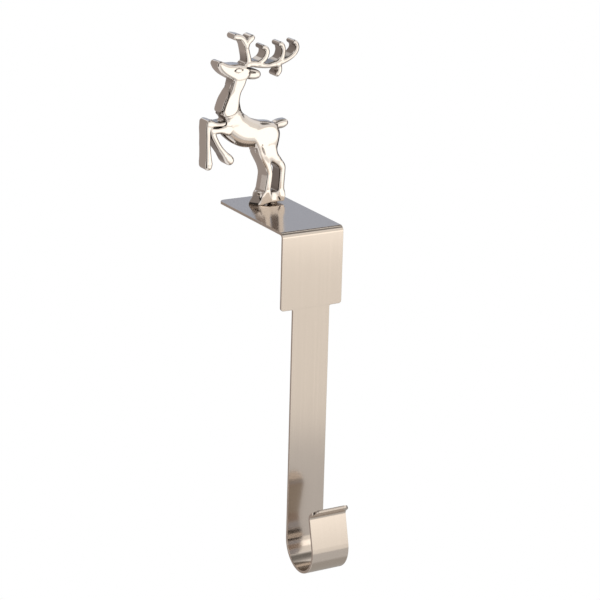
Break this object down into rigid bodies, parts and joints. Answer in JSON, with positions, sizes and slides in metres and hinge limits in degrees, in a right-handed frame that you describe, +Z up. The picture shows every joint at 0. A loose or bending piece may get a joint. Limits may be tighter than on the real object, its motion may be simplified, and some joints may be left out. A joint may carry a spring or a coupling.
{
  "type": "mantel stocking holder",
  "caption": "Folded metal mantel bracket with a narrow strap and flared J hook, carrying a die-cast rearing reindeer on its top plate.",
  "frame": {"origin": "middle of the flat underside of the top plate, which rests on the shelf", "axes": "+Z up, -Y towards the room, +X to the right seen from the room"},
  "size_m": [0.0419, 0.0751, 0.2111],
  "materials": {
    "satin_nickel": "satin, brushed along the strap",
    "polished_nickel": "polished",
    "screw_steel": "plain"
  },
  "bodies": {
    "root": {"bracket": "satin_nickel", "reindeer": "polished_nickel", "mounting_screws": "screw_steel"}
  },
  "joints": []
}
